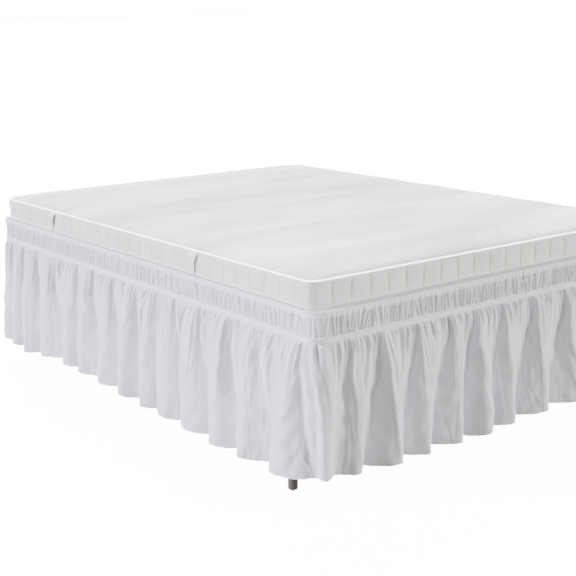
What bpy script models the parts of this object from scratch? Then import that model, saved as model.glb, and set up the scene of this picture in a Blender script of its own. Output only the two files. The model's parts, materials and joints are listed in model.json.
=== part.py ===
"""A gathered wrap-around bed skirt on a plain bed: box base, legs and thin mattress.

Metres, +Z up. The origin is on the floor under the middle of the bed, the foot of the bed
faces -Y and +X runs across it. Run with: blender --background --python part.py
"""

from collections import namedtuple
from math import cos, pi, sin, sqrt

import bmesh
import bpy

# ---- driving dimensions ------------------------------------------------------------------
MATTRESS_WIDTH = 1.53
MATTRESS_LENGTH = 2.03
MATTRESS_CORNER = 0.045
BORDER_HEIGHT = 0.083
CROWN_RISE = 0.022
CROWN_SHOULDER = 0.035
CROWN_REACH = 0.14
CHANNEL_PITCH = 0.072
CHANNEL_GROOVE = 0.003
PIPING_RADIUS = 0.0038
HANDLE_WIDTH = 0.036
HANDLE_THICKNESS = 0.002
HANDLE_BOW = 0.003
HANDLE_PLACES = (0.61, 1.61)

BASE_TOP = 0.597
BASE_DEPTH = 0.225
BASE_OVERHANG = 0.022
BASE_CORNER = 0.035
LEG_RADIUS = 0.016
LEG_FOOT_ROUND = 0.006
LEG_IN_FROM_END = 0.15
FOOT_LEG_IN_FROM_SIDE = 0.042
HEAD_LEG_IN_FROM_SIDE = 0.127

BAND_THICKNESS = 0.005
BAND_CLEARANCE = 0.002
UPPER_BAND_HEIGHT = 0.020
LOWER_BAND_HEIGHT = 0.018
HEADING_HEIGHT = 0.0555
GATHER_PITCH = 0.036
GATHER_DEPTH = 0.006
CLOTH = 0.002
GAP = 0.0003

# How the ruffle hangs: its lengths are along the outline of the base, its shares are of the
# distance from one crest to the next.
VALLEY_FLARE = 0.012
VALLEY_LIFT = 0.008
FULL_FOLD = 0.06
FOLD_GROWTH = 0.62
CORNER_FAN = 0.24
WIDE_FACE = 0.055
WIDE_FACE_SHARE = 0.42
FACE_FALL = 0.07
WALL_AT_TAPE = 0.010
WALL_AT_HEM_SHARE = 0.20
FLOOR_RISE = 0.30
FLANK_AT_HEM_SHARE = 0.66
FLANK_KNOTS = (0.45, 0.8)
CREASE_HOLDS_FOR = 0.7
CREASE_OPENING = 0.8
FACING_ROOM = 1.4
FILLED_SHARE = 0.97
GATHERED_DROP = 0.2
LEAST_FALL = 0.9

# The folds of the ruffle, counted from the foot-left corner. Walking away from it, the cloth
# climbs a flank to the near edge of a flat crest, lies flat as far as the outer edge and
# turns back to the bed. The columns are the place of the outer edge at the hem, the width of
# the crest there, how far it stands out, how far its top lies to one side, how far down the
# tight crease before it runs, and the height of the hem. The head mirrors the foot, and both
# sides share one table.
Fold = namedtuple("Fold", "edge face depth lean crease hem")
FOOT_FOLDS = (
    Fold(0.032, 0.007, 0.032, -0.045, 0.40, 0.098),
    Fold(0.113, 0.009, 0.046, 0.004, 0.30, 0.100),
    Fold(0.250, 0.017, 0.078, -0.008, 0.45, 0.105),
    Fold(0.369, 0.007, 0.068, 0.012, 0.35, 0.103),
    Fold(0.514, 0.008, 0.064, 0.002, 0.25, 0.103),
    Fold(0.636, 0.026, 0.077, 0.012, 0.30, 0.107),
    Fold(0.751, 0.015, 0.065, 0.008, 0.20, 0.111),
    Fold(0.905, 0.020, 0.073, 0.004, 0.30, 0.120),
    Fold(1.068, 0.012, 0.069, -0.004, 0.40, 0.116),
    Fold(1.210, 0.018, 0.070, 0.006, 0.25, 0.110),
    Fold(1.335, 0.010, 0.062, 0.000, 0.35, 0.106),
    Fold(1.431, 0.014, 0.056, 0.004, 0.30, 0.104),
    Fold(1.515, 0.010, 0.040, 0.000, 0.30, 0.103),
)
SIDE_FOLDS = (
    Fold(0.138, 0.035, 0.062, -0.060, 0.25, 0.095),
    Fold(0.287, 0.036, 0.072, 0.006, 0.35, 0.099),
    Fold(0.432, 0.038, 0.076, 0.010, 0.70, 0.097),
    Fold(0.598, 0.032, 0.073, 0.008, 0.42, 0.101),
    Fold(0.749, 0.038, 0.073, 0.020, 0.20, 0.104),
    Fold(0.862, 0.018, 0.072, 0.002, 0.30, 0.104),
    Fold(1.001, 0.030, 0.080, 0.004, 0.45, 0.110),
    Fold(1.166, 0.034, 0.070, 0.010, 0.30, 0.112),
    Fold(1.319, 0.028, 0.069, 0.006, 0.40, 0.114),
    Fold(1.429, 0.022, 0.071, 0.004, 0.25, 0.118),
    Fold(1.633, 0.034, 0.068, 0.000, 0.50, 0.108),
    Fold(1.777, 0.026, 0.076, 0.006, 0.30, 0.090),
    Fold(1.900, 0.026, 0.068, 0.004, 0.35, 0.098),
    Fold(1.985, 0.016, 0.056, 0.000, 0.30, 0.098),
)

# A flank climbs straight at the foot and well rounded at the sides: how wide it is at the
# tape, and how round it is there and at the hem.
Climb = namedtuple("Climb", "wide_at_tape round_at_tape round_at_hem")
FOOT_CLIMB = Climb(0.006, 1.15, 1.15)
SIDE_CLIMB = Climb(0.032, 3.0, 1.5)

Placed = namedtuple("Placed", "crest hand fold climb")
COLUMNS_PER_FOLD = 8
RUFFLE_ROWS = (0.0, 0.12, 0.32, 0.58, 0.8, 1.0)

# ---- levels worked out from them -----------------------------------------------------------
UPPER_BAND_Z = BASE_TOP - UPPER_BAND_HEIGHT
HEADING_Z = UPPER_BAND_Z - HEADING_HEIGHT
LOWER_BAND_Z = HEADING_Z - LOWER_BAND_HEIGHT
RUFFLE_TOP = LOWER_BAND_Z - 4 * GAP
MATTRESS_Z = BASE_TOP + GAP
PIPING_Z = BASE_TOP + BORDER_HEIGHT
CLOTH_OFFSET = BAND_CLEARANCE + CLOTH / 2 + GATHER_DEPTH / 2


# ---- outline of the bed --------------------------------------------------------------------
class Outline:
    """A rounded rectangle. Distances along it start at the middle of the foot-left corner."""

    def __init__(self, half_width, half_length, radius):
        self.radius = radius
        self.arc = pi / 2 * radius
        x, y = half_width - radius, half_length - radius
        self.centres = ((-x, -y), (x, -y), (x, y), (-x, y))
        self.corners = [0.0]
        for straight in (2 * x, 2 * y, 2 * x, 2 * y):
            self.corners.append(self.corners[-1] + straight + self.arc)
        self.length = self.corners[-1]

    def facing(self, distance, spread):
        """The angle that the outline faces, with each corner's turn spread over this length."""
        for number, corner in enumerate(self.corners):
            away = distance - corner
            if away < spread / 2:
                break
        return pi * 1.25 + pi / 2 * (number + max(away / spread, -0.5))

    def point(self, distance, offset, spread=0.0):
        """The place this far along the outline and this far outside it.

        Round a corner the offset turns over the corner's own arc, or over a longer spread.
        """
        distance %= self.length
        side = sum(distance > corner for corner in self.corners[1:])
        straight = self.corners[side + 1] - self.corners[side] - self.arc
        walk = min(max(distance - self.corners[side] - self.arc / 2, 0.0), straight)
        along = pi / 2 * side
        turned = self.facing(distance, self.arc)
        fanned = self.facing(distance, max(spread, self.arc))
        x, y = self.centres[side]
        x += walk * cos(along) + self.radius * cos(turned) + offset * cos(fanned)
        y += walk * sin(along) + self.radius * sin(turned) + offset * sin(fanned)
        return (x, y)

    def corner_stations(self, steps):
        """Distances of the points that draw the four arcs, each in this many steps."""
        shares = [step / steps - 0.5 for step in range(steps + 1)]
        return [corner + share * self.arc for corner in self.corners[:4] for share in shares]

    def even_stations(self, pitch):
        """Distances of evenly spaced points near this pitch, the same on each quarter."""
        count = 4 * round(self.length / pitch / 4)
        return [self.length * number / count for number in range(count)]


BASE_OUTLINE = Outline(
    MATTRESS_WIDTH / 2, MATTRESS_LENGTH / 2 + BASE_OVERHANG, BASE_CORNER
)
MATTRESS_OUTLINE = Outline(MATTRESS_WIDTH / 2, MATTRESS_LENGTH / 2, MATTRESS_CORNER)


# ---- helpers -------------------------------------------------------------------------------
def material(name, colour, roughness, metallic=0.0):
    made = bpy.data.materials.new(name)
    made.use_nodes = True
    shader = made.node_tree.nodes["Principled BSDF"]
    shader.inputs["Base Color"].default_value = (*colour, 1.0)
    shader.inputs["Roughness"].default_value = roughness
    shader.inputs["Metallic"].default_value = metallic
    return made


def add_object(name, data, finish):
    thing = bpy.data.objects.new(name, data)
    data.materials.append(finish)
    bpy.context.scene.collection.objects.link(thing)
    return thing


def smooth(thing, angle=pi / 3):
    thing.data.shade_smooth()
    thing.data.set_sharp_from_angle(angle=angle)


def closed_wall(name, columns, finish):
    """A wall that runs right round: each column is its points from top to bottom."""
    mesh = bmesh.new()
    made = [[mesh.verts.new(point) for point in column] for column in columns]
    for number, column in enumerate(made):
        following = made[(number + 1) % len(made)]
        for row in range(len(column) - 1):
            mesh.faces.new(
                (column[row], column[row + 1], following[row + 1], following[row])
            )
    data = bpy.data.meshes.new(name)
    mesh.to_mesh(data)
    mesh.free()
    thing = add_object(name, data, finish)
    smooth(thing)
    return thing


def thicken(thing, thickness):
    """Gives a sheet its thickness, half on each side."""
    solidify = thing.modifiers.new("cloth thickness", "SOLIDIFY")
    solidify.thickness = thickness
    solidify.offset = 0.0
    solidify.use_even_offset = False


def loop_curve(name, outline, offset, height, steps, finish):
    """A closed curve round the outline, for a tape or a cord to follow."""
    stations = outline.corner_stations(steps)
    data = bpy.data.curves.new(name, "CURVE")
    data.dimensions = "3D"
    spline = data.splines.new("POLY")
    spline.points.add(len(stations) - 1)
    for place, station in zip(spline.points, stations):
        place.co = (*outline.point(station, offset), height, 1.0)
    spline.use_cyclic_u = True
    return add_object(name, data, finish)


# ---- bed skirt -----------------------------------------------------------------------------
def add_band(name, bottom, height, finish):
    """A flat elastic tape, drawn tight round the base."""
    middle = BAND_CLEARANCE + BAND_THICKNESS / 2
    band = loop_curve(name, BASE_OUTLINE, middle, bottom + height / 2, 6, finish)
    band.data.extrude = height / 2 - BAND_THICKNESS / 2
    band.data.bevel_depth = BAND_THICKNESS / 2
    band.data.bevel_resolution = 1
    return band


def add_heading(finish):
    """The shirred strip between the tapes: a gather leans a little from top to bottom."""
    top, bottom = UPPER_BAND_Z - GAP, HEADING_Z + GAP
    columns = []
    for number, station in enumerate(BASE_OUTLINE.even_stations(GATHER_PITCH / 2)):
        side = 1 if number % 2 else -1
        offset = CLOTH_OFFSET + side * GATHER_DEPTH / 2
        slant = GATHER_PITCH / 8 * sin(station * 9.0)
        columns.append(
            [
                (*BASE_OUTLINE.point(station + slant, offset), top),
                (*BASE_OUTLINE.point(station - slant, offset), bottom),
            ]
        )
    heading = closed_wall("heading", columns, finish)
    thicken(heading, CLOTH)
    return heading


def ring_of_folds():
    """Every fold in order round the bed.

    The crest is the edge that the flank climbs to. The hidden sides mirror the seen ones,
    and a mirrored fold has its edges the other way round: its hand is -1.
    """
    foot_start, right_start, _, left_start, length = BASE_OUTLINE.corners
    ring = []
    for table, climb, start, mirror in (
        (FOOT_FOLDS, FOOT_CLIMB, foot_start, left_start),
        (SIDE_FOLDS, SIDE_CLIMB, right_start, length),
    ):
        for fold in table:
            ring.append(Placed(start + fold.edge - fold.face, 1, fold, climb))
            ring.append(Placed(mirror - fold.edge + fold.face, -1, fold, climb))
    return sorted(ring)


def crest_place(placed, drop):
    """Where a crest is at one height; its top lies to one side of its hem."""
    aside = placed.fold.lean * (1 - drop) + placed.climb.wide_at_tape * (1 - drop**2)
    return placed.crest + placed.hand * aside


def outer_knots(placed, drop, pitch):
    """From a crest over its flat face and down the steep wall: (distance, share of depth)."""
    fold = placed.fold
    face = fold.face + (min(WIDE_FACE, WIDE_FACE_SHARE * pitch) - fold.face) * (1 - drop)
    wall = WALL_AT_TAPE + (WALL_AT_HEM_SHARE * pitch - WALL_AT_TAPE) * drop**1.5
    fallen = 1 - FACE_FALL
    return [(face / 2, (1 + fallen) / 2), (face, fallen), (face + wall, FLOOR_RISE * (1 - drop))]


def inner_knots(placed, drop, pitch):
    """From a crest down its flank to the crease, which opens as the cloth falls."""
    climb = placed.climb
    start = placed.fold.crease * CREASE_HOLDS_FOR
    opened = max((drop - start) / (1 - start), 0.0) ** CREASE_OPENING
    flank = climb.wide_at_tape + (FLANK_AT_HEM_SHARE * pitch - climb.wide_at_tape) * opened
    extra = (climb.round_at_tape - climb.round_at_hem) * (1 - drop) ** 1.5
    rounded = climb.round_at_hem + extra
    return [(flank * done, 1 - done**rounded) for done in FLANK_KNOTS] + [(flank, 0.0)]


def fold_section(ring, number, drop):
    """The bent line from one crest to the next at one height: (distance, out, hem)."""
    here, ahead = ring[number], ring[(number + 1) % len(ring)]
    start, end = crest_place(here, drop), crest_place(ahead, drop)
    if ahead.crest < here.crest:
        end += BASE_OUTLINE.length
    gap = end - start
    rooms = (gap, gap)
    if here.hand < 0 < ahead.hand:
        part = here.fold.depth**2 / (here.fold.depth**2 + ahead.fold.depth**2)
        rooms = (FACING_ROOM * gap * part, FACING_ROOM * gap * (1 - part))
    leaving = outer_knots if here.hand > 0 else inner_knots
    arriving = inner_knots if ahead.hand > 0 else outer_knots
    near = leaving(here, drop, rooms[0])
    far = arriving(ahead, drop, rooms[1])
    fit = min(1.0, FILLED_SHARE * gap / (near[-1][0] + far[-1][0]))
    away = [(start, here.fold.depth, here.fold.hem)]
    for distance, share in near:
        away.append((start + distance * fit, here.fold.depth * share, here.fold.hem))
    back = []
    for distance, share in reversed(far):
        back.append((end - distance * fit, ahead.fold.depth * share, ahead.fold.hem))
    floor_points = COLUMNS_PER_FOLD - len(away) - len(back)
    floor = []
    for step in range(1, floor_points + 1):
        along = step / (floor_points + 1)
        floor.append([low + (high - low) * along for low, high in zip(away[-1], back[0])])
    even = [start + gap * step / COLUMNS_PER_FOLD for step in range(COLUMNS_PER_FOLD)]
    folded = min(drop / GATHERED_DROP, 1.0)
    return [
        (level + (place - level) * folded, out * drop**FOLD_GROWTH, hem)
        for level, (place, out, hem) in zip(even, away + floor + back)
    ]


def ruffle_point(place, out, hem, drop, gather):
    """A point of the ruffle; drop is 0 at the tape and 1 at the hem."""
    offset = CLOTH_OFFSET + VALLEY_FLARE * drop + out + gather
    x, y = BASE_OUTLINE.point(place, offset, CORNER_FAN * drop)
    valley = 1 - min(out / FULL_FOLD, 1.0)
    hanging = (RUFFLE_TOP - hem - VALLEY_LIFT * valley * drop) * drop
    fall = sqrt(max(hanging**2 - (offset - CLOTH_OFFSET) ** 2, 0.0))
    return (x, y, RUFFLE_TOP - max(fall, hanging * LEAST_FALL))


def add_ruffle(finish):
    """The hanging cloth: tight gathers at its top open into deep folds with flat crests."""
    ring = ring_of_folds()
    rows = []
    for drop in RUFFLE_ROWS:
        row = []
        for number in range(len(ring)):
            for step, point in enumerate(fold_section(ring, number, drop)):
                side = 1 if step % 2 else -1
                gather = side * GATHER_DEPTH / 2 * max(1 - drop / GATHERED_DROP, 0.0)
                row.append(ruffle_point(*point, drop, gather))
        rows.append(row)
    ruffle = closed_wall("ruffle", list(zip(*rows)), finish)
    thicken(ruffle, CLOTH)
    return ruffle


# ---- bed -----------------------------------------------------------------------------------
def add_mattress(finish):
    """A thin mattress with a channelled border and a crowned top that is flat in the middle."""
    seat = PIPING_RADIUS * 1.85
    rows = (
        (-0.006, MATTRESS_Z, 0.0),
        (0.0, MATTRESS_Z + 0.006, 1.0),
        (0.0, PIPING_Z - seat, 1.0),
        (-seat, PIPING_Z + PIPING_RADIUS, 0.0),
        (-CROWN_SHOULDER, PIPING_Z + CROWN_RISE * 0.75, 0.0),
        (-CROWN_REACH, PIPING_Z + CROWN_RISE, 0.0),
    )
    mesh = bmesh.new()
    loops = []
    for offset, height, channelled in rows:
        loop = []
        for number, station in enumerate(
            MATTRESS_OUTLINE.even_stations(CHANNEL_PITCH / 2)
        ):
            groove = CHANNEL_GROOVE * channelled * (number % 2)
            loop.append(mattress_point(station, offset - groove, height))
        loops.append([mesh.verts.new(point) for point in loop])
    for lower, upper in zip(loops, loops[1:]):
        for number, vertex in enumerate(lower):
            ahead = (number + 1) % len(lower)
            mesh.faces.new((vertex, lower[ahead], upper[ahead], upper[number]))
    mesh.faces.new(reversed(loops[0]))
    mesh.faces.new(loops[-1])
    data = bpy.data.meshes.new("mattress")
    mesh.to_mesh(data)
    mesh.free()
    mattress = add_object("mattress", data, finish)
    smooth(mattress)
    return mattress


def mattress_point(station, offset, height):
    """A place on the mattress; far in, the corner arc closes up and the rows stay square."""
    inward = max(-offset - MATTRESS_CORNER * 0.8, 0.0)
    x, y = MATTRESS_OUTLINE.point(station, offset + inward)
    shrink_x = 1 - inward / (MATTRESS_WIDTH / 2)
    shrink_y = 1 - inward / (MATTRESS_LENGTH / 2)
    return (x * shrink_x, y * shrink_y, height)


def add_piping(finish):
    """The cord sewn round the top edge of the border."""
    piping = loop_curve("piping", MATTRESS_OUTLINE, 0.0003, PIPING_Z, 6, finish)
    piping.data.bevel_depth = PIPING_RADIUS
    piping.data.bevel_resolution = 1
    return piping


def add_handle(name, side, along, finish):
    """A strap sewn flat on the border, standing off it a little in the middle."""
    bottom, top = MATTRESS_Z + 0.008, PIPING_Z - PIPING_RADIUS * 2.4
    face = MATTRESS_WIDTH / 2 + GAP + HANDLE_THICKNESS / 2
    steps = 6
    mesh = bmesh.new()
    rows = []
    for step in range(steps + 1):
        share = step / steps
        x = side * (face + HANDLE_BOW * sin(pi * share))
        z = bottom + (top - bottom) * share
        rows.append(
            [
                mesh.verts.new((x, along + edge * HANDLE_WIDTH / 2, z))
                for edge in (side, -side)
            ]
        )
    for low, high in zip(rows, rows[1:]):
        mesh.faces.new((low[1], low[0], high[0], high[1]))
    data = bpy.data.meshes.new(name)
    mesh.to_mesh(data)
    mesh.free()
    handle = add_object(name, data, finish)
    thicken(handle, HANDLE_THICKNESS)
    return handle


def add_base(finish):
    """The box base that the tapes grip."""
    size = (MATTRESS_WIDTH, MATTRESS_LENGTH + 2 * BASE_OVERHANG, BASE_DEPTH)
    mesh = bmesh.new()
    bmesh.ops.create_cube(mesh, size=1.0)
    bmesh.ops.scale(mesh, vec=size, verts=mesh.verts)
    upright = [
        edge for edge in mesh.edges if abs(edge.verts[0].co.z - edge.verts[1].co.z) > 0.01
    ]
    bmesh.ops.bevel(
        mesh, geom=upright, offset=BASE_CORNER, segments=6, profile=0.5, affect="EDGES"
    )
    data = bpy.data.meshes.new("base")
    mesh.to_mesh(data)
    mesh.free()
    base = add_object("base", data, finish)
    base.location.z = BASE_TOP - BASE_DEPTH / 2
    return base


def add_leg(name, x, y, finish):
    """A round leg, turned from its profile, with a rounded foot that is flat underneath."""
    height = BASE_TOP - BASE_DEPTH - GAP
    profile = (
        (0.0, height),
        (LEG_RADIUS, height),
        (LEG_RADIUS, LEG_FOOT_ROUND),
        (LEG_RADIUS * 0.85, LEG_FOOT_ROUND * 0.3),
        (LEG_RADIUS * 0.6, 0.0),
        (0.0, 0.0),
    )
    mesh = bmesh.new()
    points = [mesh.verts.new((radius, 0.0, z)) for radius, z in profile]
    edges = [mesh.edges.new(pair) for pair in zip(points, points[1:])]
    bmesh.ops.spin(
        mesh,
        geom=points + edges,
        cent=(0, 0, 0),
        axis=(0, 0, 1),
        angle=2 * pi,
        steps=12,
    )
    bmesh.ops.remove_doubles(mesh, verts=mesh.verts, dist=0.00005)
    bmesh.ops.recalc_face_normals(mesh, faces=mesh.faces)
    data = bpy.data.meshes.new(name)
    mesh.to_mesh(data)
    mesh.free()
    leg = add_object(name, data, finish)
    smooth(leg)
    leg.location = (x, y, 0.0)
    return leg


def main():
    for thing in list(bpy.data.objects):
        bpy.data.objects.remove(thing)

    skirt_cloth = material("skirt_cloth", (0.84, 0.84, 0.88), 0.85)
    tape = material("elastic_tape", (0.86, 0.86, 0.90), 0.75)
    ticking = material("mattress_ticking", (0.84, 0.84, 0.82), 0.85)
    cord = material("piping_cloth", (0.92, 0.92, 0.91), 0.7)
    base_cloth = material("base_cloth", (0.80, 0.80, 0.79), 0.9)
    leg_finish = material("leg_finish", (0.22, 0.19, 0.17), 0.45)

    add_band("upper_band", UPPER_BAND_Z, UPPER_BAND_HEIGHT - GAP, tape)
    add_heading(skirt_cloth)
    add_band("lower_band", LOWER_BAND_Z, LOWER_BAND_HEIGHT, tape)
    add_ruffle(skirt_cloth)

    add_mattress(ticking)
    add_piping(cord)
    foot_edge = -MATTRESS_LENGTH / 2
    for side, side_name in ((-1, "left"), (1, "right")):
        for number, place in enumerate(HANDLE_PLACES, 1):
            add_handle(f"handle_{side_name}_{number}", side, foot_edge + place, cord)
    add_base(base_cloth)
    leg_y = MATTRESS_LENGTH / 2 - LEG_IN_FROM_END
    foot_leg_x = MATTRESS_WIDTH / 2 - FOOT_LEG_IN_FROM_SIDE
    head_leg_x = MATTRESS_WIDTH / 2 - HEAD_LEG_IN_FROM_SIDE
    add_leg("leg_left_foot", -foot_leg_x, -leg_y, leg_finish)
    add_leg("leg_right_foot", foot_leg_x, -leg_y, leg_finish)
    add_leg("leg_left_head", -head_leg_x, leg_y, leg_finish)
    add_leg("leg_right_head", head_leg_x, leg_y, leg_finish)
    add_leg("leg_centre", 0.0, 0.0, leg_finish)


main()
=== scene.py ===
# %% [markdown]
# This notebook dresses a bed skirt: a long strip of white cloth, gathered on two elastic
# tapes and pulled round the base of a bed. The bed under it, with its thin mattress, belongs
# to the scene too. Everything is in metres and in the same frame as the solid model that is
# loaded first, so each piece is placed by reading the box of its own solid.

# %% Load the solid model
import json
import math
from collections import namedtuple

import bmesh
import bpy
import numpy as np
from mathutils import Matrix, Vector

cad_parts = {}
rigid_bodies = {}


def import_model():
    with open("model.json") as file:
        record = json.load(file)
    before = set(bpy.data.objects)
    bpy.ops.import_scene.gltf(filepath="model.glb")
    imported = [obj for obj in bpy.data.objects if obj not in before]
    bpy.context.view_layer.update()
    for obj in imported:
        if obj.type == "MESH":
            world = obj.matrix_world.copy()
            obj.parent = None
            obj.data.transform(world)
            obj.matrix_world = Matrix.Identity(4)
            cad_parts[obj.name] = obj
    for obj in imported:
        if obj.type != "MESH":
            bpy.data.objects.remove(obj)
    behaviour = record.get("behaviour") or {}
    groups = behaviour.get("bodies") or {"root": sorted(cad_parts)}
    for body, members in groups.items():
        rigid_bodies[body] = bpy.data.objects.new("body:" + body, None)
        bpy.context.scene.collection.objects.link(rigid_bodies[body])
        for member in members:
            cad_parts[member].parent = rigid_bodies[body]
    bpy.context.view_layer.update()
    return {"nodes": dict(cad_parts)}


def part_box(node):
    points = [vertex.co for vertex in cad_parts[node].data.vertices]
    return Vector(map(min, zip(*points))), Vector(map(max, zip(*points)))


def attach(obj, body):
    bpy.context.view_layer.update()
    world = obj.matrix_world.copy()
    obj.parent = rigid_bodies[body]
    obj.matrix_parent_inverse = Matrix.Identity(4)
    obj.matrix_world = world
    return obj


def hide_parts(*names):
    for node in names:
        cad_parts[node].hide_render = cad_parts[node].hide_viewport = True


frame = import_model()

# %% [markdown]
# A skirt is judged by its folds, and folds change with every step the viewer takes, so the
# camera comes first. A long lens a few metres away keeps the bed's edges nearly parallel. It
# is aimed from the near corner of the mattress, which stays just right of the middle.

# %% Set the camera
MATTRESS_CORNER_POINT = Vector((-0.765, -1.015, 0.680))
CAMERA_FROM_CORNER = Vector((-1.9578, -2.4639, 0.7410))
CAMERA_TURN = math.radians(37.302)
CAMERA_DIP = math.radians(13.487)
CAMERA_ROLL = math.radians(-0.811)
LENS_IN_FRAMES = 2.0109
SENSOR_WIDTH = 36.0
VIEW_REACH = 700.0

lens = bpy.data.cameras.new("camera")
lens.sensor_width = SENSOR_WIDTH
lens.lens = SENSOR_WIDTH * LENS_IN_FRAMES
lens.clip_end = VIEW_REACH
camera = bpy.data.objects.new("camera", lens)
bpy.context.scene.collection.objects.link(camera)
turn = Matrix.Rotation(-CAMERA_TURN, 4, "Z")
dip = Matrix.Rotation(math.pi / 2 - CAMERA_DIP, 4, "X")
roll = Matrix.Rotation(CAMERA_ROLL, 4, "Z")
camera_place = MATTRESS_CORNER_POINT + CAMERA_FROM_CORNER
camera.matrix_world = Matrix.Translation(camera_place) @ turn @ dip @ roll
bpy.context.scene.camera = camera
print("camera at", [round(value, 3) for value in camera_place])

# %% [markdown]
# White cloth shows its shape only through gentle differences of light. A low key lamp with a
# touch of lavender stands off the left side, towards the head, and brightens the crests there.
# A weaker one stands off the right corner of the foot and picks out the far edge of each fold.
# A strong one, high behind the head of the bed, whitens the top of the mattress. They are sun
# lamps with a wide angle: as soft as a studio screen, and the same everywhere on the floor. A
# lamp is described by the direction that it stands in, seen from the bed.

# %% Light the studio
Lamp = namedtuple("Lamp", "name towards strength softness colour")
LAMPS = (
    Lamp("key", (-0.84, 0.36, 0.40), 9.4, 14, (0.915, 0.868, 1.0)),
    Lamp("fill", (0.70, -0.66, 0.30), 4.9, 12, (0.992, 0.975, 0.985)),
    Lamp("top", (0.40, 0.60, 0.69), 9.9, 20, (1.0, 1.0, 1.0)),
)
for row in LAMPS:
    data = bpy.data.lights.new(row.name, "SUN")
    data.energy = row.strength
    data.angle = math.radians(row.softness)
    data.color = row.colour
    lamp = bpy.data.objects.new(row.name, data)
    lamp.rotation_euler = Vector(row.towards).to_track_quat("Z", "Y").to_euler()
    bpy.context.scene.collection.objects.link(lamp)
print("lamps:", [row.name for row in LAMPS])

# %% [markdown]
# The world lights the shadows. It is brightest overhead, dimmer at eye level and half as
# bright below, so that the undersides of the folds turn grey. It is a little warm, against the
# cool key lamp. A thin white band at the horizon only fills the far edge of the view. The
# direction of a ray runs from -1 to 1 in height, and a colour ramp wants 0 to 1.

# %% World light
Band = namedtuple("Band", "height brightness")
SKY = (
    Band(0.0, 0.0095),
    Band(0.46, 0.0100),
    Band(0.496, 0.0110),
    Band(0.499, 1.0),
    Band(0.506, 1.0),
    Band(0.512, 0.0120),
    Band(0.75, 0.017),
    Band(1.0, 0.019),
)
SKY_STRENGTH = 22.0
SKY_WARMTH = (1.0, 0.985, 0.875)
world = bpy.data.worlds.new("studio")
world.use_nodes = True
bpy.context.scene.world = world
tree = world.node_tree
direction = tree.nodes.new("ShaderNodeTexCoord")
apart = tree.nodes.new("ShaderNodeSeparateXYZ")
lift = tree.nodes.new("ShaderNodeMath")
lift.operation = "MULTIPLY_ADD"
lift.inputs[1].default_value = 0.5
lift.inputs[2].default_value = 0.5
sky = tree.nodes.new("ShaderNodeValToRGB")
tree.links.new(direction.outputs["Generated"], apart.inputs[0])
tree.links.new(apart.outputs["Z"], lift.inputs[0])
tree.links.new(lift.outputs[0], sky.inputs["Fac"])
tree.links.new(sky.outputs["Color"], tree.nodes["Background"].inputs["Color"])
tree.nodes["Background"].inputs["Strength"].default_value = SKY_STRENGTH
for number, band in enumerate(SKY):
    if number < 2:
        stop = sky.color_ramp.elements[number]
        stop.position = band.height
    else:
        stop = sky.color_ramp.elements.new(band.height)
    stop.color = (*(band.brightness * channel for channel in SKY_WARMTH), 1.0)
print("sky bands:", len(SKY))

# %% [markdown]
# The floor is a plain pale plane. It takes the shadow of the bed, but it is hidden from the
# rays that carry diffuse and mirrored light: a white floor would fill every fold from below
# and flatten it. It gets its paint at the end.

# %% Lay the floor
FLOOR_SIZE = 600.0
bpy.ops.mesh.primitive_plane_add(size=FLOOR_SIZE)
floor = bpy.context.object
floor.name = "floor"
floor.visible_diffuse = False
floor.visible_glossy = False
print("floor:", FLOOR_SIZE, "m wide")

# %% [markdown]
# Every finish here is cloth, paint or tape, and each is made of the same few nodes: a pattern
# that varies the colour a little, and a finer one that makes the surface rough to the touch.
# So there are short helpers that add a node, feed the shader, and shade a pattern from one
# colour to another. In a call of add, _0 and _1 are sockets by number.

# %% Helpers for finishes
def new_finish(name, colour, roughness, sheen=0.0):
    """A material, a function that adds nodes to it and one that feeds its shader."""
    finish = bpy.data.materials.new(name)
    finish.use_nodes = True
    tree = finish.node_tree
    shader = tree.nodes["Principled BSDF"]
    shader.inputs["Base Color"].default_value = (*colour, 1.0)
    shader.inputs["Roughness"].default_value = roughness
    shader.inputs["Sheen Weight"].default_value = sheen
    shader.inputs["Sheen Roughness"].default_value = 0.5

    def add(kind, settings=None, **inputs):
        node = tree.nodes.new("ShaderNode" + kind)
        for key, value in (settings or {}).items():
            setattr(node, key, value)
        for key, value in inputs.items():
            socket = node.inputs[int(key[1:])] if key[1:].isdigit() else node.inputs[key]
            if isinstance(value, bpy.types.NodeSocket):
                tree.links.new(value, socket)
            else:
                socket.default_value = value
        return node

    def feed(name, output):
        tree.links.new(output, shader.inputs[name])

    return finish, add, feed


def shaded(add, pattern, low, high, dark, light):
    """The pattern as a colour: dark up to low, light from high on."""
    node = add("ValToRGB", None, Fac=pattern)
    for stop, place, colour in zip(node.color_ramp.elements, (low, high), (dark, light)):
        stop.position = place
        stop.color = (*colour, 1.0)
    return node.outputs["Color"]


def tint(colour, change):
    """A colour made lighter or darker by a share."""
    return tuple(min(1.0, channel * (1.0 + change)) for channel in colour)


def add_glow(finish, strength):
    """Lets a finish shine a little by itself, in white."""
    shader = finish.node_tree.nodes["Principled BSDF"]
    shader.inputs["Emission Color"].default_value = (1.0, 1.0, 1.0, 1.0)
    shader.inputs["Emission Strength"].default_value = strength


print("a tint of mid grey:", tint((0.5, 0.5, 0.5), 0.1))

# %% [markdown]
# The skirt is brushed microfibre: a very fine plain weave with a soft nap. Its threads are
# too thin to see from across a room, but the nap lies in slightly different directions and
# leaves cloudy patches a few centimetres wide, and thicker threads show as faint dashes. The
# weave needs to know where it is on the cloth and not in the room, so every cloth mesh below
# carries its own measure, called thread: metres along the strip and metres down it.

# %% Finish for woven cloth
CLOUDS_SCALE = 14.0
SLUBS_STRETCH = (30.0, 420.0, 1.0)
FLUFF_SCALE = 900.0
FLUFF_SHARE = 0.8
WEAVE_DEPTH = 0.0004


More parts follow.
